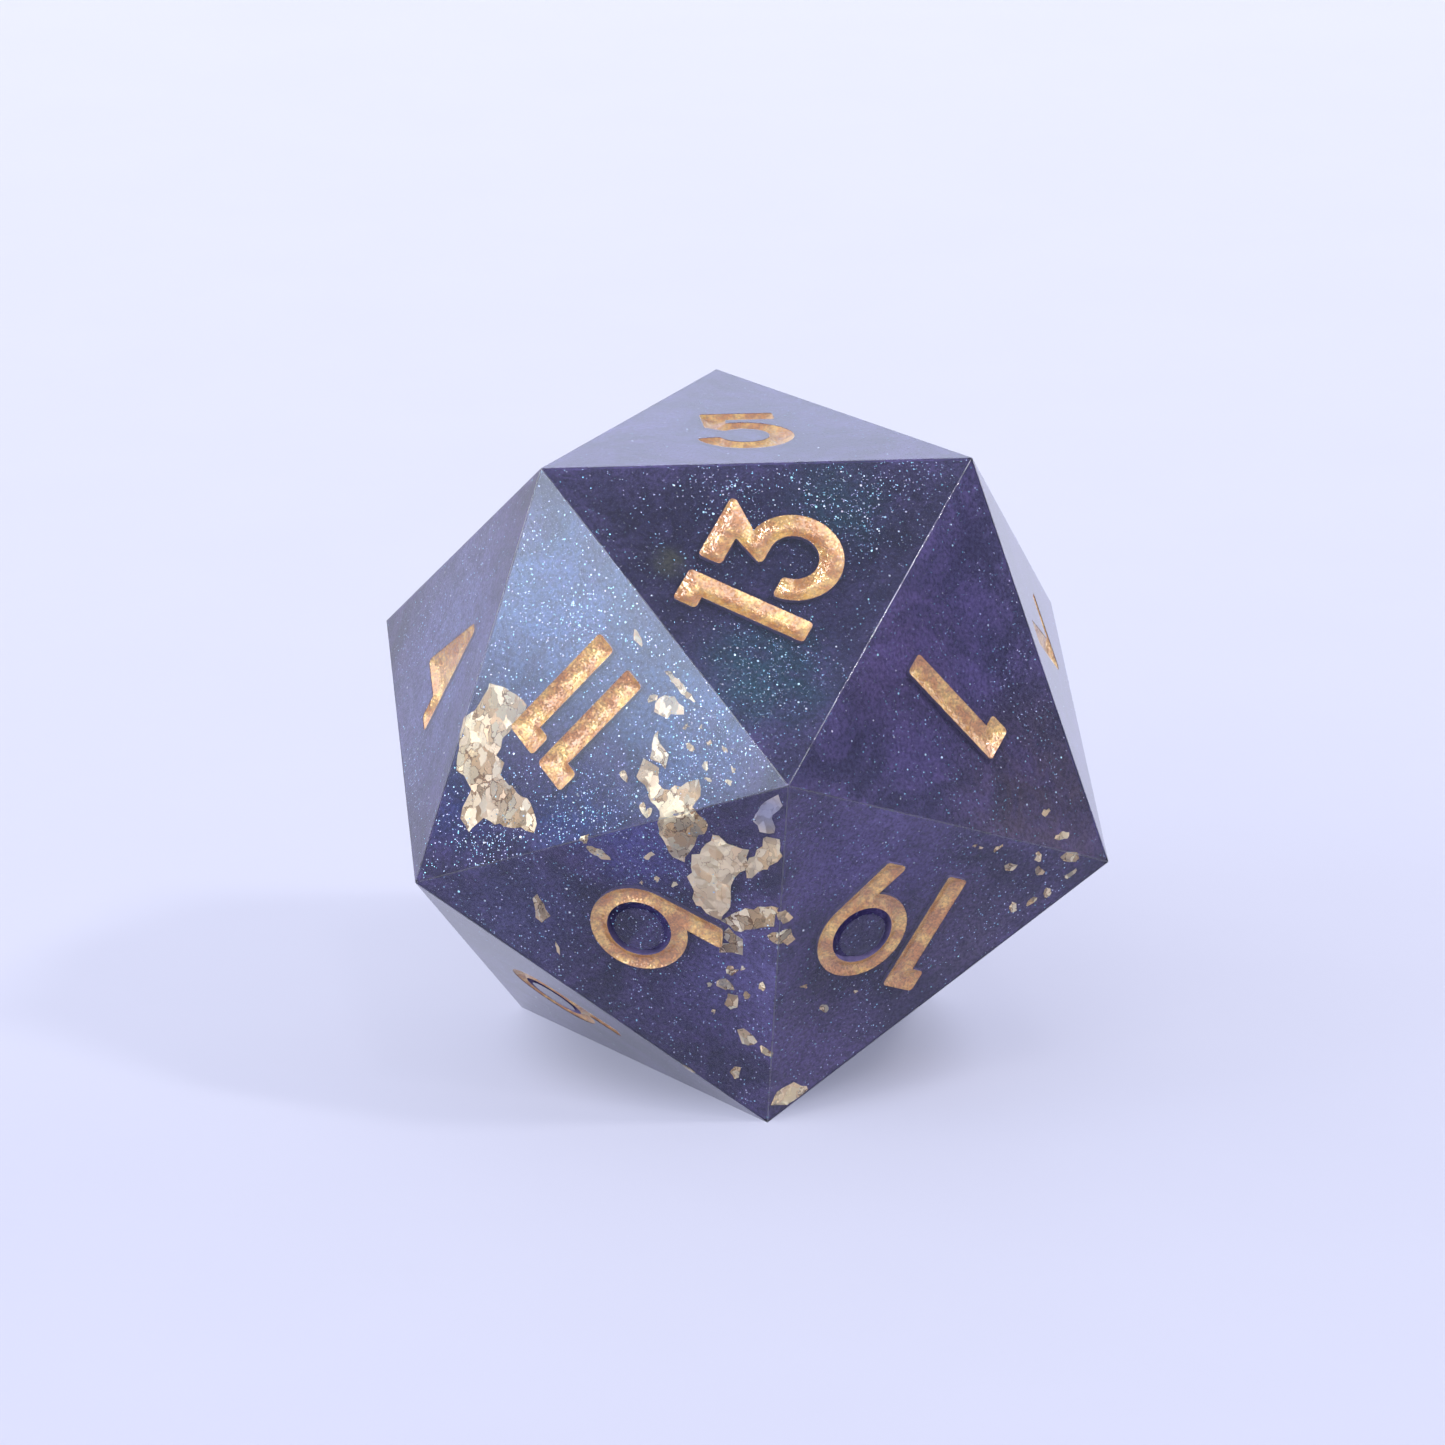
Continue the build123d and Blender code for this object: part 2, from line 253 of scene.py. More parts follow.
def leaning_normal(tree, cell_colour, lean):
    """The surface's normal, leaning a different way in each cell."""
    centred = vector_math(tree, "SUBTRACT", cell_colour, (0.5, 0.5, 0.5))
    shift = put(tree, "ShaderNodeVectorMath", {0: centred, "Scale": lean}, operation="SCALE")
    normal = put(tree, "ShaderNodeNewGeometry").outputs["Normal"]
    leaning = vector_math(tree, "ADD", shift.outputs[0], normal)
    return put(tree, "ShaderNodeVectorMath", {0: leaning}, operation="NORMALIZE").outputs[0]


def shaded(tree, colour, value):
    """A colour, times a value."""
    grey = put(tree, "ShaderNodeCombineColor", {"Red": value, "Green": value, "Blue": value})
    return mix_colours(tree, 1.0, colour, grey.outputs[0], blend="MULTIPLY")


def facing(tree, face):
    """1 where the surface lies parallel to a numbered face, 0 where it leans away from it."""
    out = FACE_MATRICES[face].col[2].to_3d().normalized()
    normal = put(tree, "ShaderNodeNewGeometry").outputs["True Normal"]
    aligned = put(tree, "ShaderNodeVectorMath", {0: normal, 1: out}, operation="DOT_PRODUCT")
    return remap(tree, aligned.outputs["Value"], 0.80, 0.90)


def round_patch(tree, face, x, y, radius):
    """1 at a point just under a face, falling to 0 at a radius (mm)."""
    place = FACE_MATRICES[face] @ Vector((x, y, -CORE_DEPTH))
    ends = {0: object_point(tree), 1: place}
    away = put(tree, "ShaderNodeVectorMath", ends, operation="DISTANCE").outputs["Value"]
    return remap(tree, away, radius * MM, 0.15 * radius * MM)


def cloud_shape(tree, face, x, y, radius):
    """A round patch that stops at the edges of its face."""
    patch = round_patch(tree, face, x, y, radius)
    return math_node(tree, "MULTIPLY", patch, facing(tree, face))


# ---- materials ----
RESIN_IOR = 1.54
RESIN_CLEAR = (0.93, 0.93, 1.0, 1)
RESIN_ABSORBED = (0.34, 0.32, 0.62, 1)
ABSORPTION_DENSITY = 930.0     # per metre; it dims the paths of a few tenths of a millimetre


def clear_resin_material(name, finest, roughest, shine=0.0):
    """Clear resin that tints whatever lies under it, of a roughness between two values.

    The shine is the weight of a brighter, blurred reflection on top.
    """
    material, tree, shader = new_material(name)
    polish = noise_value(tree, 1.6, detail=4.0)
    feed(tree, shader, {
        "Base Color": RESIN_CLEAR,
        "Transmission Weight": 1.0,
        "IOR": RESIN_IOR,
        "Roughness": remap(tree, polish, 0.3, 0.7, finest, roughest),
        "Coat Weight": shine,
        "Coat IOR": 1.65,
        "Coat Roughness": 0.22,
    })
    wave = noise_value(tree, 2.4, detail=2.0, seed_offset=3.1)
    set_bump(tree, shader, wave, 0.12, 0.02)
    tint = {"Color": RESIN_ABSORBED, "Density": ABSORPTION_DENSITY}
    absorption = put(tree, "ShaderNodeVolumeAbsorption", tint).outputs[0]
    feed(tree, tree.nodes["Material Output"], {"Volume": absorption})
    return material


# Soft colour clouds in the core: face, x, y, radius, colour, strength. The two bright blue ones
# under face 11 and the pale lavender-grey one under face 4 are painted sheen: they paint in part of
# those faces' reflection of the bright studio.
CLOUDS_AND_SHEEN = (
    (13, 0.0, 0.0, 14.0, (0.020, 0.021, 0.065), 0.80),
    (13, -1.5, 4.0, 5.0, (0.010, 0.009, 0.038), 0.85),
    (13, 3.6, -2.6, 5.0, (0.010, 0.012, 0.040), 0.85),
    (13, 1.0, 0.5, 3.5, (0.014, 0.016, 0.055), 0.75),
    (13, -3.6, -1.7, 3.2, (0.02, 0.10, 0.12), 0.70),
    (13, 3.4, -1.0, 2.4, (0.02, 0.09, 0.12), 0.45),
    (13, -1.2, 3.0, 0.9, (0.10, 0.11, 0.05), 0.55),
    # painted sheen: this entry and the next paint in part of face 11's reflection of the windows;
    # the two dark entries after them lie towards its top corner, where that reflection fades
    (11, 3.0, -1.5, 5.5, (0.17, 0.30, 0.56), 0.80),
    (11, -3.0, -2.5, 4.5, (0.13, 0.26, 0.50), 0.75),
    (11, -2.5, 2.5, 3.0, (0.035, 0.075, 0.26), 0.75),
    (11, 1.5, 5.0, 3.5, (0.03, 0.06, 0.22), 0.75),
    (1, 0.5, 5.0, 5.5, (0.085, 0.062, 0.075), 0.75),
    (1, 0.5, -2.5, 4.0, (0.11, 0.075, 0.19), 0.70),
    (19, 2.0, -2.5, 4.5, (0.20, 0.15, 0.40), 0.75),
    (19, -3.0, -0.5, 3.4, (0.13, 0.10, 0.20), 0.70),
    (19, 0.0, 4.5, 3.5, (0.15, 0.11, 0.26), 0.65),
    (9, 3.5, 1.0, 3.0, (0.12, 0.12, 0.40), 0.70),
    (9, -1.0, -3.0, 4.0, (0.22, 0.18, 0.44), 0.70),
    (9, 0.0, 5.0, 3.8, (0.11, 0.11, 0.26), 0.65),
    # painted sheen: this pale entry paints in part of face 4's reflection
    (4, 0.0, 0.0, 7.0, (0.29, 0.31, 0.57), 0.75),
    (5, 0.0, 0.0, 6.0, (0.16, 0.17, 0.34), 0.40),
    (20, 2.0, -1.0, 4.5, (0.03, 0.20, 0.22), 0.70),
    (8, -2.0, 1.0, 4.5, (0.20, 0.12, 0.38), 0.70),
    (17, 1.0, 2.0, 4.5, (0.06, 0.22, 0.34), 0.70),
    (10, -1.0, -1.0, 4.5, (0.20, 0.14, 0.42), 0.70),
    (2, 2.0, -2.0, 4.5, (0.04, 0.24, 0.28), 0.70),
    (18, -1.0, 1.0, 6.0, (0.15, 0.12, 0.34), 0.65),
    (14, -2.0, -1.0, 4.5, (0.16, 0.24, 0.52), 0.70),
    (15, 1.5, -1.5, 4.5, (0.16, 0.11, 0.36), 0.70),
    (12, -1.5, 1.5, 4.5, (0.10, 0.22, 0.48), 0.65),
)


# Where mica gathers: face, x, y, spread, number of flakes.
MICA_CLUSTERS = (
    (13, 3.9, -1.2, 1.1, 260),
    (13, -3.6, -1.7, 1.3, 220),
    (13, 1.8, 2.2, 0.9, 90),
    (11, 2.5, -1.8, 1.0, 110),
    (11, -4.0, -2.6, 1.3, 180),
    (11, -0.8, 5.4, 0.9, 140),
    (11, -2.4, 2.2, 0.9, 100),
    (9, 2.6, -0.2, 1.8, 120),
    (20, 2.0, -1.0, 1.5, 160),
    (17, 1.0, 2.0, 1.5, 160),
    (2, 2.0, -2.0, 1.5, 160),
    (12, -1.5, 1.5, 1.5, 160),
)


def resin_core_material():
    """Cloudy indigo resin full of mica, with teal and violet swirls, and painted sheen: bright
    clouds under faces 11 and 4 that paint in part of their reflection.
    """
    material, tree, shader = new_material("resin_core")
    swirl = noise_value(tree, 3.2, detail=6.0, roughness=0.62, distortion=1.4)
    dark = (0.040, 0.036, 0.095)
    violet = (0.105, 0.080, 0.215)
    colour = mix_colours(tree, remap(tree, swirl, 0.35, 0.68), dark, violet)
    wisp = noise_value(tree, 1.1, detail=6.0, roughness=0.7, distortion=0.8, seed_offset=0.7)
    wisp = remap(tree, wisp, 0.30, 0.66, 0.35, 1.0)
    # mixes in each entry of the table, the painted sheen of faces 11 and 4 among them
    for face, x, y, radius, tint, strength in CLOUDS_AND_SHEEN:
        cloud_and_sheen = cloud_shape(tree, face, x, y, radius)
        amount = math_node(tree, "MULTIPLY", cloud_and_sheen, wisp)
        amount = math_node(tree, "MULTIPLY", amount, strength)
        colour = mix_colours(tree, amount, colour, tint)
    grain = noise_value(tree, 0.12, detail=2.0, seed_offset=1.9)
    grain = remap(tree, grain, 0.3, 0.7, 0.62, 1.18)
    colour = shaded(tree, colour, grain)
    cells = pigment_cells(tree)
    chosen = put(tree, "ShaderNodeSeparateColor", {"Color": cells.outputs["Color"]})
    crowd = noise_value(tree, 2.0, detail=3.0, seed_offset=5.2)
    crowd = remap(tree, crowd, 0.40, 0.64, 0.95, 0.86)
    for face, x, y, spread, _ in MICA_CLUSTERS:
        more = math_node(tree, "MULTIPLY", cloud_shape(tree, face, x, y, 2.2 * spread), 0.20)
        crowd = math_node(tree, "SUBTRACT", crowd, more)
    rare = math_node(tree, "GREATER_THAN", chosen.outputs[0], crowd)
    size = remap(tree, chosen.outputs[2], 0.0, 1.0, 0.16, 0.46, smooth=False)
    close = math_node(tree, "LESS_THAN", cells.outputs["Distance"], size)
    speck = math_node(tree, "MULTIPLY", rare, close)
    tone = mix_colours(tree, chosen.outputs[1], (0.30, 0.78, 0.85), (0.86, 0.80, 0.98))
    colour = mix_colours(tree, speck, colour, tone)
    lean = remap(tree, speck, 0.0, 1.0, 0.20, 0.34)
    feed(tree, shader, {
        "Base Color": colour,
        "Metallic": math_node(tree, "MULTIPLY", speck, 0.9),
        "Roughness": remap(tree, speck, 0.0, 1.0, 0.60, 0.25),
        "Specular IOR Level": 0.1,
        "Normal": leaning_normal(tree, cells.outputs["Color"], lean),
    })
    return material


def gold_paint_material():
    """Gold paint: pale mica grain over an orange-brown ground, under a satin shine."""
    material, tree, shader = new_material("gold_paint_satin")
    blotch = noise_value(tree, 0.6, detail=5.0, roughness=0.65)
    warm = (0.38, 0.145, 0.030)
    pale = (0.66, 0.42, 0.13)
    colour = mix_colours(tree, remap(tree, blotch, 0.40, 0.68), warm, pale)
    flakes = pigment_cells(tree)
    shade = put(tree, "ShaderNodeSeparateColor", {"Color": flakes.outputs["Color"]}).outputs[0]
    grain = remap(tree, shade, 0.0, 1.0, 0.72, 1.28)
    colour = shaded(tree, colour, grain)
    lean = leaning_normal(tree, flakes.outputs["Color"], 0.40)
    feed(tree, shader, {
        "Base Color": colour,
        "Metallic": 0.55,
        "Specular IOR Level": 1.0,
        "Roughness": remap(tree, blotch, 0.3, 0.7, 0.46, 0.34),
        "Normal": lean,
        "Coat Weight": 1.0,
        "Coat Roughness": 0.28,
        "Coat IOR": 2.0,
        "Coat Tint": (1.0, 0.95, 0.76, 1),
        "Coat Normal": lean,
    })
    return material


def clouded_paint_material():
    """The sides of the paint, seen through the cloudy resin around them."""
    material, tree, shader = new_material("gold_paint_clouded")
    blotch = noise_value(tree, 0.3, detail=3.0)
    shade = remap(tree, blotch, 0.3, 0.7)
    colour = mix_colours(tree, shade, (0.08, 0.07, 0.17), (0.14, 0.11, 0.24))
    feed(tree, shader, {"Base Color": colour, "Roughness": 0.7})
    set_bump(tree, shader, blotch, 0.3, 0.03)
    return material


FACET_DRAW = 0.6      # below 1, the facets of the foil are drawn out upwards
FACET_PUSH = 0.75     # how far, in mm, the outlines of the facets are pushed about
FACET_BEND = 0.5      # and the width of the bends this gives them


def crumpled_point(tree):
    """A place on the object, pushed about so that a cell pattern there looks torn."""
    coarse = {"Vector": object_point(tree), "Scale": 1 / (FACET_BEND * MM), "Detail": 3.0}
    bend = put(tree, "ShaderNodeTexNoise", coarse)
    centred = vector_math(tree, "SUBTRACT", bend.outputs["Color"], (0.5, 0.5, 0.5))
    push = vector_math(tree, "MULTIPLY", centred, (FACET_PUSH * MM,) * 3)
    pushed = vector_math(tree, "ADD", push, object_point(tree))
    return vector_math(tree, "MULTIPLY", pushed, (1.0, 1.0, FACET_DRAW))


def crumple(tree, shader, cell, dull, bright, crease_shade_colour, crease_shade_width, lean):
    """Gives foil facets of a cell size in mm, each its own tilt and a random shade between the dull
    and the bright colour, which is painted light and shade of facets turned towards and away from
    the light; and creases darkened by painted shade.
    """
    cells = {"Vector": crumpled_point(tree), "Scale": 1 / (cell * MM), "Randomness": 1.0}
    facets = put(tree, "ShaderNodeTexVoronoi", cells)
    shade = put(tree, "ShaderNodeSeparateColor", {"Color": facets.outputs["Color"]}).outputs[0]
    # painted light and shade: each facet is coloured between the dull and the bright colour
    colour = mix_colours(tree, shade, dull, bright)
    # painted shade: the creases along the facets' edges are darkened to the colour given for them
    between = put(tree, "ShaderNodeTexVoronoi", cells, feature="DISTANCE_TO_EDGE")
    broken = noise_value(tree, 0.8, detail=4.0, seed_offset=6.1)
    width = remap(tree, broken, 0.42, 0.62, 0.0, crease_shade_width)
    painted_crease_shade = math_node(tree, "LESS_THAN", between.outputs["Distance"], width)
    colour = mix_colours(tree, painted_crease_shade, colour, crease_shade_colour)
    feed(tree, shader, {"Normal": leaning_normal(tree, facets.outputs["Color"], lean)})
    return colour


def gold_leaf_material():
    """Imitation gold leaf: pale champagne foil, crumpled into facets that catch the light by their
    tilt, with painted light and shade in their lighter and darker facets and dark creases.
    """
    material, tree, shader = new_material("gold_leaf_foil")
    colour = crumple(
        tree, shader, cell=0.30, dull=(0.84, 0.57, 0.27), bright=(1.0, 0.90, 0.57),
        crease_shade_colour=(0.32, 0.18, 0.07), crease_shade_width=0.05, lean=0.85,
    )
    rough = remap(tree, noise_value(tree, 0.4, seed_offset=2.2), 0.3, 0.7, 0.22, 0.40)
    feed(tree, shader, {"Base Color": colour, "Metallic": 0.45, "Roughness": rough})
    return material


def thin_leaf_material():
    """Leaf worn so thin that it looks like a dull beige veil, bluish at one end."""
    material, tree, shader = new_material("gold_leaf_veil")
    # painted light and shade, as on the gold leaf: lighter and darker facets and darkened creases
    colour = crumple(
        tree, shader, cell=0.30, dull=(0.92, 0.68, 0.37), bright=(1.0, 0.88, 0.56),
        crease_shade_colour=(0.60, 0.42, 0.22), crease_shade_width=0.04, lean=0.50,
    )
    bluish = math_node(tree, "MULTIPLY", round_patch(tree, 9, 6.0, -3.6, 1.5), 0.8)
    colour = mix_colours(tree, bluish, colour, (0.32, 0.36, 0.54))
    feed(tree, shader, {"Base Color": colour, "Metallic": 0.55, "Roughness": 0.42})
    return material


def mica_material():
    """Pearl mica flakes, each its own shade of silver, teal or violet."""
    material, tree, shader = new_material("mica_pearl")
    island = put(tree, "ShaderNodeNewGeometry").outputs["Random Per Island"]
    tint = mix_colours(tree, island, (0.35, 0.85, 0.90), (0.95, 0.93, 1.0))
    pearl = remap(tree, noise_value(tree, 0.05, detail=1.0), 0.3, 0.7, 0.8, 1.1)
    tint = shaded(tree, tint, pearl)
    feed(tree, shader, {"Base Color": tint, "Metallic": 0.9, "Roughness": 0.28})
    return material


def floor_material():
    """Smooth pale paper, bright from all around and glowing evenly, with painted light that makes it
    lighter towards the back and a painted contact shadow that dims its glow close to the die.
    """
    material, tree, shader = new_material("floor_paper")
    place = put(tree, "ShaderNodeSeparateXYZ", {"Vector": object_point(tree)})
    # painted light: the paper's colour grows lighter towards the back
    back = remap(tree, place.outputs["Y"], -0.20, 0.50)
    colour = mix_colours(tree, back, (0.190, 0.190, 0.225), (0.345, 0.34, 0.33))
    mottle = remap(tree, noise_value(tree, 9.0, detail=4.0), 0.2, 0.8, 0.985, 1.01)
    colour = shaded(tree, colour, mottle)
    # painted contact shadow: the glow is dimmer within 4.5 to 9 mm of the die
    from_die = put(tree, "ShaderNodeVectorMath", {0: object_point(tree)}, operation="LENGTH")
    clear_of_painted_shadow = remap(tree, from_die.outputs["Value"], 4.5 * MM, 9 * MM)
    glow = mix_colours(tree, clear_of_painted_shadow, (0.22, 0.23, 0.32), (0.39, 0.405, 0.555))
    feed(tree, shader, {
        "Base Color": colour,
        "Roughness": 0.75,
        "Specular IOR Level": 0.15,
        "Emission Color": glow,
        "Emission Strength": 1.0,
    })
    return material


# ---- meshes ----
def place_in_scene(name, data):
    """A new object in the scene, of a mesh or a camera."""
    made = bpy.data.objects.new(name, data)
    bpy.context.scene.collection.objects.link(made)
    return made


def add_object(name, vertices, faces, material, smooth=False):
    """A new mesh object of one material."""
    mesh = bpy.data.meshes.new(name)
    mesh.from_pydata(vertices, [], faces)
    mesh.materials.append(material)
    mesh.polygons.foreach_set("use_smooth", [smooth] * len(mesh.polygons))
    return place_in_scene(name, mesh)


ALIGNED = 0.9999        # least cosine between normals that point the same way


def on_rounded_edge(mesh, polygon):
    """Whether a polygon of the casting belongs to the broken edges between its flat faces."""
    flat = (FACE_NORMALS @ np.array(polygon.normal)).max() > ALIGNED
    corners = np.array([mesh.vertices[index].co for index in polygon.vertices])
    depths = -((corners[:, None, :] - FACE_MIDDLES) * FACE_NORMALS).sum(2).max(1)
    return not flat and depths.max() < ROUNDED_DEPTH * MM


def build_skin(materials):
    """The outer surface of the casting, without the hollows that hold the leaf.

    The materials are that of the polished faces and that of the worn edges between them.
    """
    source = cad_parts["resin_body"].data
    surface = bmesh.new()
    surface.from_mesh(source)
    bmesh.ops.remove_doubles(surface, verts=surface.verts, dist=SAME_PLACE * MM)
    outermost = max(surface.verts, key=lambda vertex: (vertex.co - CENTRE).length)
    reached = {outermost}
    waiting = [outermost]
    while waiting:
        for edge in waiting.pop().link_edges:
            for vertex in edge.verts:
                if vertex not in reached:
                    reached.add(vertex)
                    waiting.append(vertex)
    hidden = [vertex for vertex in surface.verts if vertex not in reached]
    bmesh.ops.delete(surface, geom=hidden, context="VERTS")
    mesh = bpy.data.meshes.new("resin_skin")
    surface.to_mesh(mesh)
    surface.free()
    for material in materials:
        mesh.materials.append(material)
    if "custom_normal" in mesh.attributes:
        mesh.attributes.remove(mesh.attributes["custom_normal"])
    for polygon in mesh.polygons:
        rounded = on_rounded_edge(mesh, polygon)
        polygon.use_smooth = rounded
        polygon.material_index = int(rounded)
    skin = place_in_scene("resin_skin", mesh)
    skin.visible_shadow = False
    return skin


CORE_CUTS = 31          # along each edge of the cloudy core
CRISP_ANGLE = 30        # its creases sharper than this many degrees stay crisp


def build_core(material):
    """The cloudy core: an icosahedron just under the skin, softly uneven, with crisp edges."""
    core = bmesh.new()
    corner_at = {}
    for number in FACES:
        corners = []
        for point in face_corners(number):
            key = tuple(round(value, 7) for value in point)
            if key not in corner_at:
                corner_at[key] = core.verts.new(point)
            corners.append(corner_at[key])
        core.faces.new(corners)
    bmesh.ops.recalc_face_normals(core, faces=core.faces)
    bmesh.ops.subdivide_edges(core, edges=core.edges, cuts=CORE_CUTS, use_grid_fill=True)
    for vertex in core.verts:
        outward = (vertex.co - CENTRE).normalized()
        steepness = (FACE_NORMALS @ np.array(outward)).max()
        vertex.co -= outward * MM * core_depth(vertex.co) / steepness
    mesh = bpy.data.meshes.new("resin_core")
    core.to_mesh(mesh)
    core.free()
    mesh.materials.append(material)
    mesh.polygons.foreach_set("use_smooth", [True] * len(mesh.polygons))
    mesh.set_sharp_from_angle(angle=math.radians(CRISP_ANGLE))
    return place_in_scene("resin_core", mesh)


def distances(points, starts, ends):
    """Distance from each point to the nearest of some straight sides."""
    along = ends - starts
    offset = points[:, None, :] - starts[None, :, :]
    share = (offset * along).sum(2) / np.maximum((along * along).sum(1), 1e-12)
    nearest = offset - np.clip(share, 0, 1)[:, :, None] * along
    return np.sqrt((nearest * nearest).sum(2)).min(1)


def inside(points, starts, ends):
    """Which points the closed sides go round, by the even-odd rule."""
    x = points[:, None, 0]
    y = points[:, None, 1]
    crosses = (starts[:, 1] > y) != (ends[:, 1] > y)
    rise = np.where(starts[:, 1] == ends[:, 1], 1.0, ends[:, 1] - starts[:, 1])
    at = starts[:, 0] + (y - starts[:, 1]) / rise * (ends[:, 0] - starts[:, 0])
    return (crosses & (x < at)).sum(1) % 2 == 1


JITTER = 0.3            # points stray sideways by up to this share of their spacing
CLEAR_OF_RIM = 0.45     # and stay this share of it away from the outline


def stray(grain, rng):
    """How far a point strays one way."""
    return rng.uniform(-JITTER, JITTER) * grain


def side_ends(rim, sides):
    """Where the sides of an outline start and where they end."""
    return rim[[side[0] for side in sides]], rim[[side[1] for side in sides]]


def fill_outline(rim, sides, grain, rng):
    """Points over an outlined area, the rim's first, and the triangles between them."""
    starts, ends = side_ends(rim, sides)
    low = rim.min(0)
    high = rim.max(0)
    columns = np.arange(low[0], high[0] + grain, grain)
    rows = np.arange(low[1], high[1] + grain, grain)
    grid = np.array([(x, y) for y in rows for x in columns])
    grid = grid + np.array([(stray(grain, rng), stray(grain, rng)) for _ in grid])
    clear = distances(grid, starts, ends) > CLEAR_OF_RIM * grain
    grid = grid[clear & inside(grid, starts, ends)]
    points = [Vector(point) for point in np.vstack((rim, grid))]
    flat, _, faces, *_ = delaunay_2d_cdt(points, sides, [], 0, 1e-7)
    flat = np.array([tuple(point) for point in flat])
    middles = np.array([flat[list(face)].mean(0) for face in faces])
    kept = inside(middles, starts, ends)
    return flat, [tuple(face) for face, keep in zip(faces, kept) if keep]


def in_strokes(face, points):
    """Which points of a face lie in the strokes of its number, or close beside them."""
    starts, ends = STROKES[face]
    return inside(points, starts, ends) | (distances(points, starts, ends) < STROKE_CLEARANCE)


def ragged(outline, grain, rng):
    """The outline with its sides split to the grain and torn a little."""
    torn = []
    for start, end in zip(outline, outline[1:] + outline[:1]):
        side = math.dist(start, end)
        steps = max(1, round(side / grain))
        for step in range(steps):
            share = step / steps
            x = start[0] + share * (end[0] - start[0]) + stray(grain, rng)
            y = start[1] + share * (end[1] - start[1]) + stray(grain, rng)
            torn.append((x, y))
    return torn


LEAF_THICKNESS = 0.012         # in millimetres, like the lengths below
SHEET_GRAIN = 0.26             # spacing of the points on the large sheets of leaf
SHEET_CRUMPLE = 0.035          # height of their crumples
FLAKE_GRAIN = (0.14, 0.24)     # least and greatest spacing of the points on single flakes
FLAKE_GRAINS = 2.5             # how many of these go across a flake, within those limits
FLAKE_CRUMPLE = 0.030          # height of their crumples
FOLD_WIDTH = 0.7               # width of the broad folds
FOLD_SHARE = 1.2               # height of the broad folds against the crumples


def crumpled_sheet(face, outline, depth, grain, crumple, rng):
    """Vertices and triangles of a crumpled sheet under a face."""
    rim = np.array(ragged(outline, grain, rng))
    sides = [(index, (index + 1) % len(rim)) for index in range(len(rim))]
    flat, triangles = fill_outline(rim, sides, grain, rng)
    middles = np.array([flat[list(triangle)].mean(0) for triangle in triangles])
    painted = in_strokes(face, middles)
    triangles = [triangle for triangle, hidden in zip(triangles, painted) if not hidden]
    vertices = []
    for x, y in flat:
        fold = noise.noise(Vector((x / FOLD_WIDTH, y / FOLD_WIDTH, depth * 7 + face)))
        deepest = core_depth(FACE_MATRICES[face] @ Vector((x, y, 0))) - CORE_CLEARANCE
        height = crumple * (rng.uniform(-1, 1) + FOLD_SHARE * fold) - depth
        place = FACE_MATRICES[face] @ Vector((x, y, max(height, -deepest)))
        vertices.append(keep_inside(place, LEAF_CLEARANCE))
    return vertices, triangles


def weld(mesh):
    """Joins vertices that lie on each other, drops loose ones and turns the faces outward."""
    solid = bmesh.new()
    solid.from_mesh(mesh)
    loose = [vertex for vertex in solid.verts if not vertex.link_faces]
    bmesh.ops.delete(solid, geom=loose, context="VERTS")
    bmesh.ops.remove_doubles(solid, verts=solid.verts, dist=SAME_PLACE * MM)
    bmesh.ops.recalc_face_normals(solid, faces=solid.faces)
    solid.to_mesh(mesh)
    solid.free()


CAD_SAME_PLACE = 0.001     # vertices of the CAD paint nearer than this are one
CAD_RIM = 0.01             # its rim lies within this of its highest point
WALL_RISE = 0.2            # the normals of its walls rise by less than this


def paint_rim(number):
    """Outline of an engraved number in its face's frame, from the CAD paint, and its sides."""
    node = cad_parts[f"numeral_{number:02d}"]
    to_face = FACE_MATRICES[number].inverted()
    solid = bmesh.new()
    solid.from_mesh(node.data)
    bmesh.ops.remove_doubles(solid, verts=solid.verts, dist=CAD_SAME_PLACE * MM)
    bmesh.ops.transform(solid, matrix=to_face, verts=solid.verts)
    solid.normal_update()
    top = max(vertex.co.z for vertex in solid.verts)
    places = {}
    outward = {}
    sides = []
    for edge in solid.edges:
        walls = [face for face in edge.link_faces if abs(face.normal.z) < WALL_RISE]
        level = all(vertex.co.z > top - CAD_RIM for vertex in edge.verts)
        if len(walls) == 1 and level:
            for vertex in edge.verts:
                places[vertex.index] = vertex.co.to_2d()
                outward.setdefault(vertex.index, Vector((0, 0)))
                outward[vertex.index] += walls[0].normal.to_2d()
            sides.append([vertex.index for vertex in edge.verts])
    order = {index: rank for rank, index in enumerate(places)}
    rim = [places[index] + outward[index].normalized() * PAINT_OVERLAP for index in places]
    solid.free()
    return np.array([tuple(point) for point in rim]), [[order[i] for i in side] for side in sides]


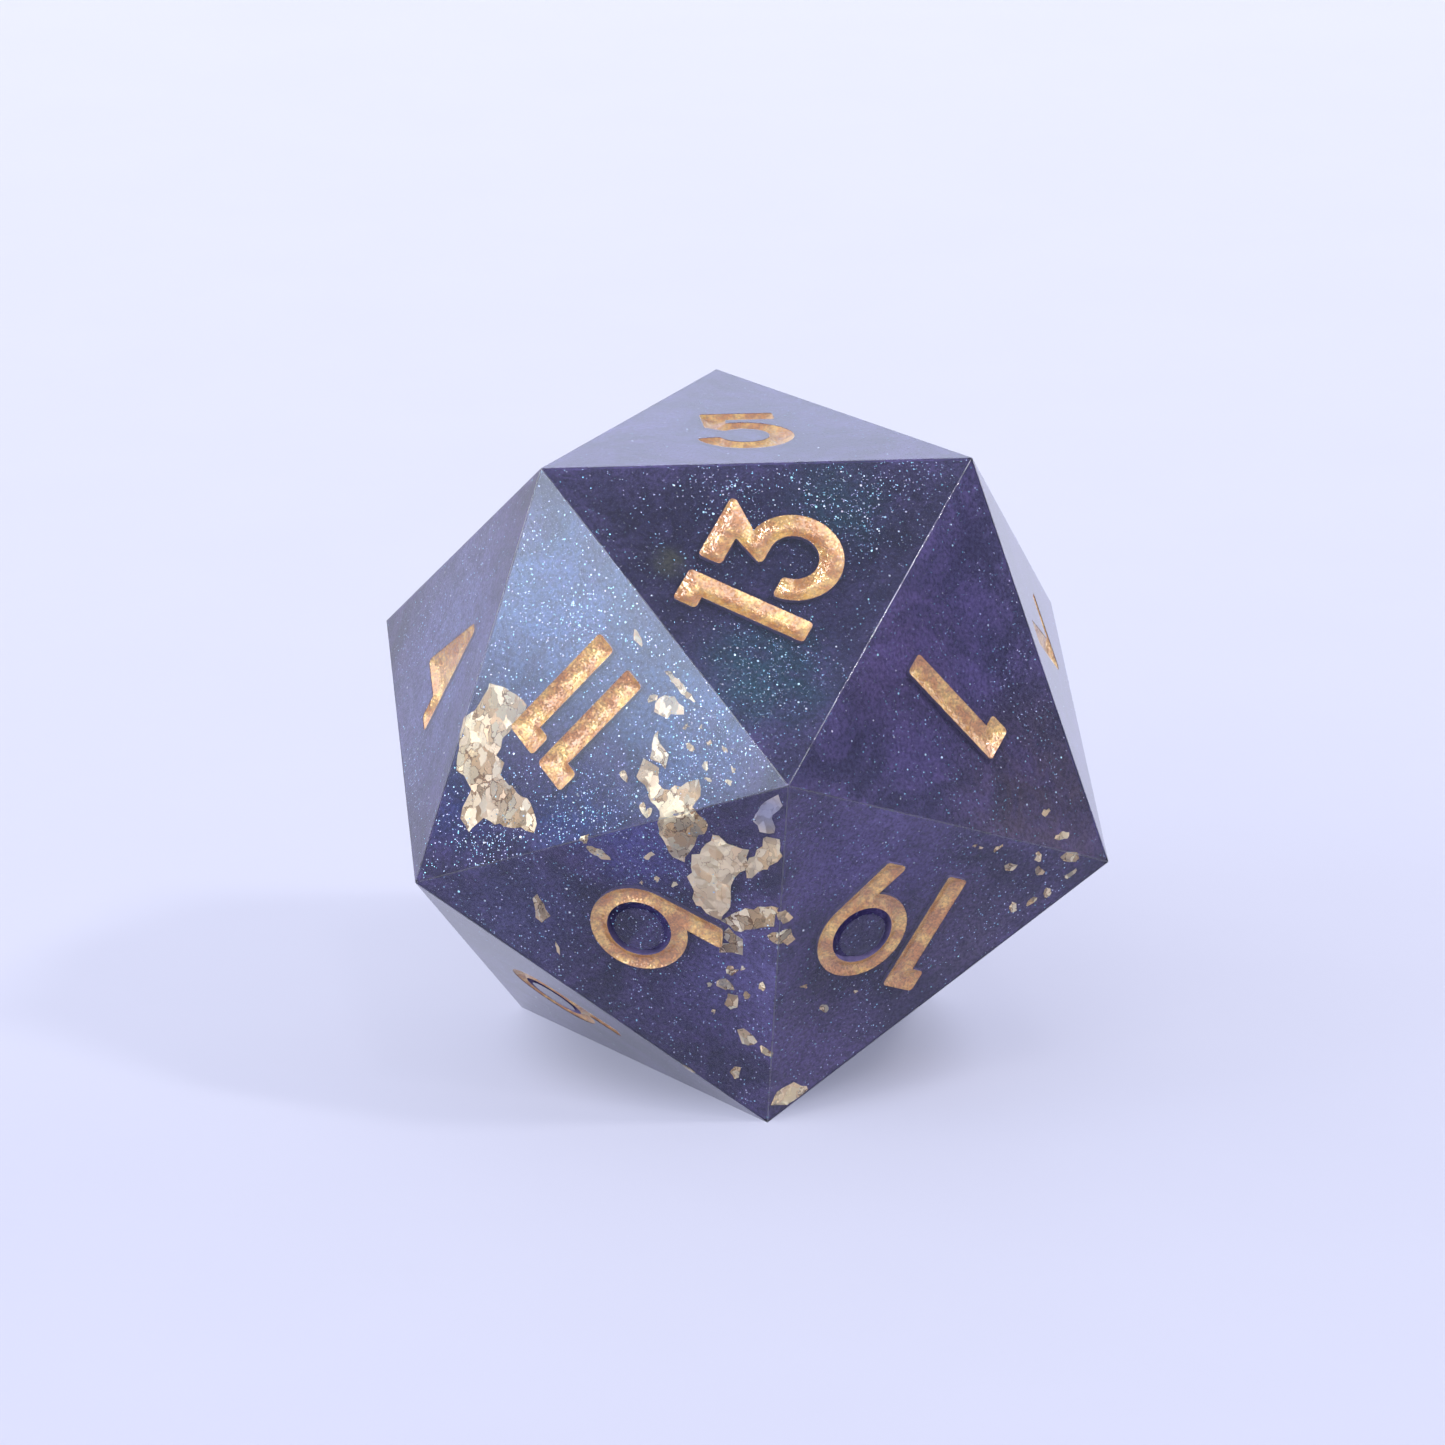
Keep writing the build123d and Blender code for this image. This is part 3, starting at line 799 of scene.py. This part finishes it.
def build_paint(number, materials):
    """The paint in one engraved number: a smooth trough between the walls of each stroke.

    The materials are the paint's own, and that of its sides, clouded by the resin around them.
    Returns the starts and ends of the sides of the strokes.
    """
    rim, sides = paint_rim(number)
    starts, ends = side_ends(rim, sides)
    rng = random.Random(f"paint {number}")
    top, top_triangles = fill_outline(rim, sides, PAINT_GRAIN, rng)
    floor, floor_triangles = fill_outline(rim, sides, UNDERSIDE_GRAIN, rng)
    vertices = []
    for (x, y), away in zip(top, distances(top, starts, ends)):
        share = min(1.0, away / PAINT_REACH)
        dip = PAINT_DISH * share * (1 + PAINT_ROUND * (1 - share))
        uneven = PAINT_UNEVEN * share * noise.noise(Vector((x / PAINT_WAVE, y / PAINT_WAVE, number)))
        vertices.append((x, y, -PAINT_RIM - dip - uneven))
    faces = list(top_triangles)
    faces += [tuple(len(vertices) + index for index in triangle) for triangle in floor_triangles]
    vertices += [(x, y, -PAINT_DEPTH) for x, y in floor]
    upper = len(vertices)
    lower = upper + len(rim)
    vertices += [(x, y, -PAINT_RIM) for x, y in rim]
    vertices += [(x, y, -PAINT_DEPTH) for x, y in rim]
    faces += [(upper + one, upper + two, lower + two, lower + one) for one, two in sides]
    to_row = FACE_MATRICES[number]
    placed = [to_row @ Vector(vertex) for vertex in vertices]
    paint = add_object(f"paint_{number:02d}", placed, faces, materials[0], smooth=True)
    paint.data.materials.append(materials[1])
    clouded = [int(index >= len(top_triangles)) for index in range(len(faces))]
    paint.data.polygons.foreach_set("material_index", clouded)
    weld(paint.data)
    paint.data.set_sharp_from_angle(angle=math.radians(PAINT_CRISP_ANGLE))
    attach(paint, ROOT)
    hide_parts(f"numeral_{number:02d}")
    return starts, ends


FLAKE_CORNERS = 9
FLAKE_REACH = (0.62, 1.0)      # how far out they are, as a share of the full oval


def flake_outline(x, y, length, width, turn, rng):
    """A ragged oval."""
    bearing = math.radians(turn)
    outline = []
    for index in range(FLAKE_CORNERS):
        angle = 2 * math.pi * index / FLAKE_CORNERS
        reach = rng.uniform(*FLAKE_REACH)
        along = length / 2 * reach * math.cos(angle)
        across = width / 2 * reach * math.sin(angle)
        corner_x = x + along * math.cos(bearing) - across * math.sin(bearing)
        corner_y = y + along * math.sin(bearing) + across * math.cos(bearing)
        outline.append((corner_x, corner_y))
    return outline


# Large sheets of leaf: run, face, depth, outline.
SHEETS = (
    ("ridge", 11, 0.32, (
        (-1.8, 3.9), (-0.93, 4.6), (-0.13, 5.07), (-0.07, 5.87), (0.5, 5.7), (0.8, 5.2),
        (0.95, 4.75), (1.85, 4.75), (2.53, 4.1), (3.1, 3.45), (2.85, 3.0), (3.0, 2.4),
        (3.2, 1.93), (2.45, 1.5), (1.65, 1.4), (1.5, 1.95), (1.4, 2.85), (1.1, 3.3),
        (0.75, 3.35), (0.6, 3.67), (-0.07, 3.6), (-1.0, 3.45), (-1.5, 3.5),
    )),
    ("trail", 9, 0.26, (
        (3.15, -0.75), (3.45, -0.2), (4.2, 0.05), (4.85, 0.15), (5.35, -0.3), (5.6, -0.9),
        (5.15, -1.5), (4.5, -1.45), (4.2, -1.15), (3.6, -0.95),
    )),
    ("trail", 11, 0.24, (
        (-5.0, 0.05), (-4.3, -0.05), (-3.9, -0.15), (-3.85, -0.6), (-4.2, -0.8),
        (-4.45, -1.2), (-4.8, -1.85), (-5.3, -1.5), (-5.35, -0.7),
    )),
    ("trail", 11, 0.22, (
        (-3.8, -0.2), (-3.0, -0.2), (-2.85, -0.8), (-3.45, -0.95), (-3.8, -0.7),
    )),
    ("trail", 11, 0.22, (
        (-3.6, -1.1), (-3.0, -0.95), (-2.7, -1.3), (-2.4, -1.7), (-2.9, -1.6), (-3.4, -1.6),
    )),
    ("veil", 9, 0.16, (
        (1.0, -2.2), (1.5, -1.3), (2.5, -1.0), (3.5, -1.1), (4.1, -1.6), (4.6, -1.7),
        (4.3, -2.3), (4.2, -3.0), (3.4, -2.9), (2.6, -2.5), (1.7, -2.4),
    )),
    ("veil", 9, 0.14, (
        (3.0, -2.9), (3.6, -2.9), (4.3, -3.3), (5.0, -3.6), (5.0, -4.0), (4.2, -4.1),
        (3.6, -3.6),
    )),
    ("veil", 9, 0.20, (
        (5.0, -3.35), (5.5, -3.1), (6.2, -3.3), (6.8, -3.85), (6.4, -4.05), (5.9, -3.75),
        (5.2, -3.8),
    )),
    ("knot", 9, 0.30, (
        (0.9, -2.2), (1.5, -2.6), (1.8, -3.2), (2.1, -4.1), (1.2, -4.0), (0.9, -3.3),
        (0.6, -2.9),
    )),
    ("knot", 9, 0.30, (
        (-0.5, -2.2), (0.2, -2.2), (0.7, -2.5), (0.4, -2.9), (-0.3, -2.9),
    )),
    ("foot", 19, 0.20, (
        (-0.9, 6.9), (-0.4, 7.6), (0.2, 7.8), (0.3, 7.2), (0.1, 6.8), (-0.5, 6.7),
    )),
)

# Single flakes of each run of leaf: face, x, y, length, width, turn in degrees, depth.
FLAKES = {
    "ridge": (),
    "trail": (
        (11, -2.75, 0.15, 0.60, 0.32, -10, 0.18),
        (11, -4.1, 0.33, 0.55, 0.25, -15, 0.18),
        (11, -2.2, -2.6, 1.6, 0.9, 35, 0.45),
        (11, -1.9, -3.3, 1.8, 0.3, 5, 0.35),
        (11, 0.4, -3.2, 0.7, 0.3, -10, 0.30),
        (11, -5.6, -2.6, 0.35, 0.2, 20, 0.20),
        (11, -4.6, -2.3, 0.4, 0.25, -30, 0.20),
        (11, -3.7, -2.3, 0.45, 0.25, 10, 0.20),
        (11, -4.7, -3.2, 0.3, 0.2, 0, 0.20),
        (11, -5.4, -3.0, 0.3, 0.18, 0, 0.20),
        (11, -5.0, -2.1, 0.3, 0.2, 15, 0.20),
        (11, -4.1, -2.9, 0.25, 0.16, 40, 0.20),
        (11, -3.5, -3.0, 0.22, 0.15, -20, 0.20),
        (11, -3.1, -2.6, 0.3, 0.2, 60, 0.20),
        (11, -1.5, -2.3, 0.6, 0.3, 70, 0.25),
        (9, 4.9, 0.6, 0.55, 0.25, 5, 0.22),
    ),
    "veil": (
        (9, 1.9, 0.6, 0.2, 0.15, 0, 0.20),
        (9, 2.2, 0.1, 0.28, 0.2, 30, 0.20),
        (9, 3.1, 0.4, 0.55, 0.22, -40, 0.20),
        (9, 2.1, -0.5, 0.3, 0.16, -40, 0.20),
        (9, 0.9, -1.3, 0.8, 0.4, 75, 0.35),
    ),
    "knot": (
        (19, 3.9, 1.4, 1.2, 0.7, 20, 0.45),
        (19, 4.4, 0.6, 1.0, 0.5, -10, 0.45),
        (9, -1.1, -2.6, 0.6, 0.4, -45, 0.25),
        (9, -0.9, -3.0, 0.3, 0.2, 0, 0.25),
    ),
    "crumbs": (
        (9, -2.4, -2.7, 0.9, 0.6, 0, 0.22),
        (9, -1.75, -2.45, 0.7, 0.6, 45, 0.22),
        (9, -2.0, -3.2, 0.4, 0.3, 0, 0.22),
        (9, -3.0, -2.1, 0.22, 0.15, 0, 0.22),
        (9, -1.9, -1.9, 0.25, 0.18, 0, 0.22),
        (9, -1.4, -3.7, 0.5, 0.2, 10, 0.22),
        (9, -3.8, -3.3, 1.0, 0.8, 65, 0.24),
        (9, -4.2, -4.0, 0.7, 0.35, 60, 0.20),
        (9, -5.4, -3.0, 0.7, 0.45, -15, 0.20),
    ),
    "foot": (
        (9, -5.85, -1.3, 0.7, 0.4, 60, 0.18),
        (19, 0.45, 3.7, 0.5, 0.3, -15, 0.20),
        (19, 1.8, 3.0, 0.3, 0.2, 10, 0.20),
        (19, -0.4, 2.8, 0.18, 0.14, 0, 0.20),
    ),
    "shoulder": (
        (19, -4.6, -1.65, 0.5, 0.4, -30, 0.20),
        (19, -5.2, -2.0, 0.6, 0.25, 60, 0.25),
        (19, -5.6, -2.5, 0.5, 0.3, -40, 0.25),
        (19, -4.8, -3.2, 0.7, 0.35, -35, 0.25),
        (19, -4.4, -3.7, 0.7, 0.3, -35, 0.22),
        (19, -3.5, -3.1, 0.75, 0.4, 20, 0.20),
        (19, -5.6, -4.0, 0.9, 0.5, -10, 0.20),
        (19, -2.5, -3.7, 0.5, 0.2, 60, 0.22),
        (19, -1.8, -3.6, 0.2, 0.15, 0, 0.20),
        (19, -1.5, -3.6, 0.18, 0.14, 0, 0.20),
        (19, -6.1, -3.4, 0.6, 0.3, 60, 0.20),
        (1, 0.6, 6.3, 0.9, 0.35, -40, 0.22),
        (1, 0.4, 5.3, 0.5, 0.25, -20, 0.25),
    ),
    "deep": (
        (9, -0.1, 4.1, 1.7, 0.6, 15, 0.62),
        (9, -1.7, 3.4, 0.6, 0.12, 20, 0.55),
        (9, 2.8, 2.1, 1.2, 0.45, 60, 0.30),
        (9, 3.3, 2.6, 0.5, 0.3, -20, 0.30),
    ),
    "back": (
        (20, 3.0, -2.6, 1.6, 0.9, 20, 0.30),
        (20, 1.9, -3.3, 0.9, 0.5, -30, 0.28),
        (2, -3.1, 0.0, 1.5, 0.9, 55, 0.32),
        (2, -3.0, 1.2, 0.7, 0.5, 10, 0.28),
        (14, -0.3, 4.6, 1.8, 0.8, 70, 0.30),
        (14, 0.5, 4.4, 0.8, 0.5, -40, 0.28),
        (12, 2.6, 1.9, 1.2, 0.6, -60, 0.30),
        (17, -3.0, -2.8, 1.3, 0.6, -15, 0.30),
        (15, 0.2, 4.5, 1.2, 0.7, 65, 0.32),
        (8, 2.9, -2.4, 1.5, 0.8, 40, 0.30),
    ),
}

# Leaf scattered behind the hidden faces: face, x, y, spread, number of flakes.
BACK_SCATTER = (
    (20, 3.2, -2.9, 0.9, 10),
    (2, -3.3, -0.6, 0.8, 9),
    (14, -0.2, 4.9, 0.8, 9),
    (18, 3.6, -2.8, 0.9, 8),
    (12, 2.7, 1.6, 0.8, 8),
    (15, 0.4, 4.8, 0.8, 7),
    (17, -3.2, -2.9, 0.9, 9),
    (8, 3.0, -2.4, 0.8, 9),
    (10, -3.0, -2.6, 0.8, 7),
)
SCATTER_LENGTH = (0.25, 1.1)   # least and greatest length of these flakes
SCATTER_SLIM = (0.4, 0.8)      # and their width, as a share of the length
SCATTER_MARGIN = 0.5           # least distance of their middles from the face's edges
SCATTER_DEPTH = 0.2


def scattered_flakes(rng):
    """Flakes of leaf thrown about each place in BACK_SCATTER."""
    flakes = []
    for face, x, y, spread, count in BACK_SCATTER:
        for _ in range(count):
            place = (rng.gauss(x, spread), rng.gauss(y, spread))
            length = rng.uniform(*SCATTER_LENGTH)
            width = length * rng.uniform(*SCATTER_SLIM)
            turn = rng.uniform(0, 180)
            if inside_face(*place, margin=SCATTER_MARGIN):
                flakes.append((face, *place, length, width, turn, SCATTER_DEPTH))
    return flakes


def build_leaf(run, material):
    """One run of crumpled leaf, which stands for the CAD node of the same name."""
    rng = random.Random(f"leaf {run}")
    vertices = []
    triangles = []

    def collect(sheet):
        """Adds a sheet's vertices and triangles to the run's."""
        offset = len(vertices)
        vertices.extend(sheet[0])
        triangles.extend(tuple(offset + index for index in triangle) for triangle in sheet[1])

    for owner, face, depth, outline in SHEETS:
        if owner == run:
            outline = list(outline)
            collect(crumpled_sheet(face, outline, depth, SHEET_GRAIN, SHEET_CRUMPLE, rng))
    extra = scattered_flakes(rng) if run == "back" else []
    for face, x, y, length, width, turn, depth in (*FLAKES[run], *extra):
        outline = flake_outline(x, y, length, width, turn, rng)
        grain = max(FLAKE_GRAIN[0], min(FLAKE_GRAIN[1], width / FLAKE_GRAINS))
        collect(crumpled_sheet(face, outline, depth, grain, FLAKE_CRUMPLE, rng))
    leaf = add_object(f"leaf_{run}_foil", vertices, triangles, material)
    weld(leaf.data)
    thickness = leaf.modifiers.new("thickness", "SOLIDIFY")
    thickness.thickness = LEAF_THICKNESS * MM
    thickness.offset = -1
    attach(leaf, ROOT)
    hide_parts(f"leaf_{run}")


MICA_PER_FACE = 300
MICA_TILTS = (9, 9, 24)       # flakes lean by about one of these, in degrees
MICA_LEAST = 0.010            # radius of the smallest flakes
MICA_RANGE = 0.036            # and how much larger the few largest are
MICA_CORNERS = 5
MICA_SPAN_X = (-7.3, 7.3)     # scattered over a box round the face
MICA_SPAN_Y = (-4.2, 8.4)


def inside_face(x, y, margin=0.35):
    """Whether a point (mm) is on a face, clear of its edges."""
    reach = EDGE / MM / (2 * math.sqrt(3)) - margin
    return all(
        x * math.sin(angle) - y * math.cos(angle) < reach
        for angle in (0, 2 * math.pi / 3, 4 * math.pi / 3)
    )


def build_mica(material):
    """Thousands of tiny tilted flakes, scattered and in clusters."""
    rng = random.Random("mica")
    places = []
    for face in FACES:
        for _ in range(MICA_PER_FACE):
            places.append((face, rng.uniform(*MICA_SPAN_X), rng.uniform(*MICA_SPAN_Y)))
    for face, x, y, spread, count in MICA_CLUSTERS:
        for _ in range(count):
            places.append((face, rng.gauss(x, spread), rng.gauss(y, spread)))
    vertices = []
    faces = []
    for face, x, y in places:
        if not inside_face(x, y) or in_strokes(face, np.array([(x, y)]))[0]:
            continue
        deepest = core_depth(FACE_MATRICES[face] @ Vector((x, y, 0))) - CORE_CLEARANCE
        depth = rng.uniform(min(LEAF_CLEARANCE, deepest), deepest)
        radius = MICA_LEAST + MICA_RANGE * rng.random() ** 3
        lean = math.radians(rng.choice(MICA_TILTS))
        tilt = Matrix.Rotation(rng.gauss(0, lean), 4, "X")
        tilt = tilt @ Matrix.Rotation(rng.gauss(0, lean), 4, "Y")
        seat = FACE_MATRICES[face] @ Matrix.Translation((x, y, -depth)) @ tilt
        start = rng.uniform(0, math.pi)
        first = len(vertices)
        for index in range(MICA_CORNERS):
            angle = start + 2 * math.pi * index / MICA_CORNERS
            vertices.append(seat @ around(radius, angle))
        faces.append(tuple(range(first, first + MICA_CORNERS)))
    mica = add_object("mica_flakes", vertices, faces, material)
    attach(mica, ROOT)


# ---- light, floor and camera ----
def direction(azimuth, elevation):
    """Unit vector; azimuth is measured from +X towards +Y, in degrees."""
    turn = math.radians(azimuth)
    rise = math.radians(elevation)
    return around(math.cos(rise), turn, math.sin(rise))


# Soft patches of light: azimuth, elevation, inner and outer radius in degrees, colour.
LIGHT_PATCHES = (
    (150, 35, 15, 95, (0.42, 0.44, 0.50)),
    (-60, 85, 10, 55, (0.14, 0.15, 0.20)),
    (83, 20, 8, 26, (0.68, 0.75, 1.0)),
    (140, 17, 10, 34, (1.6, 1.6, 1.55)),
    (-120, 22, 8, 28, (3.4, 3.4, 3.3)),
    (-103, 52, 5, 20, (1.8, 1.8, 1.7)),
    (28, 14, 6, 24, (3.0, 3.0, 2.9)),
    (-27, 46, 1.5, 4.4, (125.0, 125.0, 130.0)),
    (-76, 61, 2.0, 5.0, (20.0, 20.0, 21.0)),
)
WINDOWS = (
    (-159, 24, 8, 17, (2.6, 3.3, 4.1)),
    (-172, 26, 8, 34, (1.95, 1.95, 1.95)),
)
WINDOW_SILL = (14.9, 17.2)     # elevations where the windows start and are full
SKY_COLOUR = (0.38, 0.395, 0.50)
HORIZON_COLOUR = (0.82, 0.85, 1.0)
HORIZON = (3.5, 12.0)          # elevations between which the horizon fades into the sky


def build_world():
    """A soft white studio with bright windows on the left."""
    world = bpy.data.worlds.new("studio")
    bpy.context.scene.world = world
    world.use_nodes = True
    tree = world.node_tree
    toward = put(tree, "ShaderNodeTexCoord").outputs["Generated"]

    def patch(azimuth, elevation, inner, outer):
        """1 within the inner radius of a direction, 0 beyond the outer."""
        ways = {0: toward, 1: direction(azimuth, elevation)}
        aligned = put(tree, "ShaderNodeVectorMath", ways, operation="DOT_PRODUCT").outputs["Value"]
        low = math.cos(math.radians(outer))
        high = math.cos(math.radians(inner))
        return remap(tree, aligned, low, high)

    def rising(elevations):
        """0 below the first elevation, 1 above the second."""
        start, full = (math.sin(math.radians(elevation)) for elevation in elevations)
        height = put(tree, "ShaderNodeSeparateXYZ", {"Vector": toward}).outputs["Z"]
        return remap(tree, height, start, full)

    colour = mix_colours(tree, rising(HORIZON), HORIZON_COLOUR, SKY_COLOUR)
    for patches, elevations in ((LIGHT_PATCHES, HORIZON), (WINDOWS, WINDOW_SILL)):
        for azimuth, elevation, inner, outer, glow in patches:
            shape = patch(azimuth, elevation, inner, outer)
            amount = math_node(tree, "MULTIPLY", shape, rising(elevations))
            lit = mix_colours(tree, amount, (0.0, 0.0, 0.0), glow)
            colour = mix_colours(tree, 1.0, colour, lit, blend="ADD")
    feed(tree, tree.nodes["Background"], {"Color": colour, "Strength": 1.0})


def build_floor(material):
    """A wide round sheet of pale paper under the die."""
    radius = 3.0
    count = 64
    vertices = [around(radius, 2 * math.pi * index / count) for index in range(count)]
    floor = add_object("floor", vertices, [tuple(range(count))], material)
    floor.location.z = -0.01 * MM


# Place, aim, roll in degrees, focal length and width of the sensor; lengths in millimetres.
CAMERA_PLACE = (-28.64, -251.04, 89.45)
CAMERA_AIM = (-0.632, 0.240, 11.545)
CAMERA_ROLL = 0.27
CAMERA_LENS = 191.23
CAMERA_SENSOR = 36


def build_camera():
    """The camera: a long lens a quarter of a metre away, a little above the die."""
    data = bpy.data.cameras.new("camera")
    data.lens = CAMERA_LENS
    data.sensor_width = CAMERA_SENSOR
    data.clip_start = 0.01
    data.clip_end = 20
    camera = place_in_scene("camera", data)
    place = Vector(CAMERA_PLACE) * MM
    aim = Vector(CAMERA_AIM) * MM
    level = (aim - place).to_track_quat("-Z", "Y").to_matrix().to_4x4()
    roll = Matrix.Rotation(math.radians(CAMERA_ROLL), 4, "Z")
    camera.matrix_world = Matrix.Translation(place) @ level @ roll
    bpy.context.scene.camera = camera


# ---- everything together ----
polished = clear_resin_material("resin_skin", 0.015, 0.05)
worn = clear_resin_material("resin_worn_edge", 0.22, 0.38, shine=1.0)
skin = build_skin((polished, worn))
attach(skin, ROOT)
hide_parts("resin_body")
core = build_core(resin_core_material())
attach(core, ROOT)

paint_finishes = (gold_paint_material(), clouded_paint_material())
STROKES = {number: build_paint(number, paint_finishes) for number in FACES}

leaf_foil = gold_leaf_material()
thin_leaf = thin_leaf_material()
for run in FLAKES:
    build_leaf(run, thin_leaf if run == "veil" else leaf_foil)
build_mica(mica_material())

build_world()
build_floor(floor_material())
build_camera()
bpy.context.scene.view_settings.view_transform = "Standard"
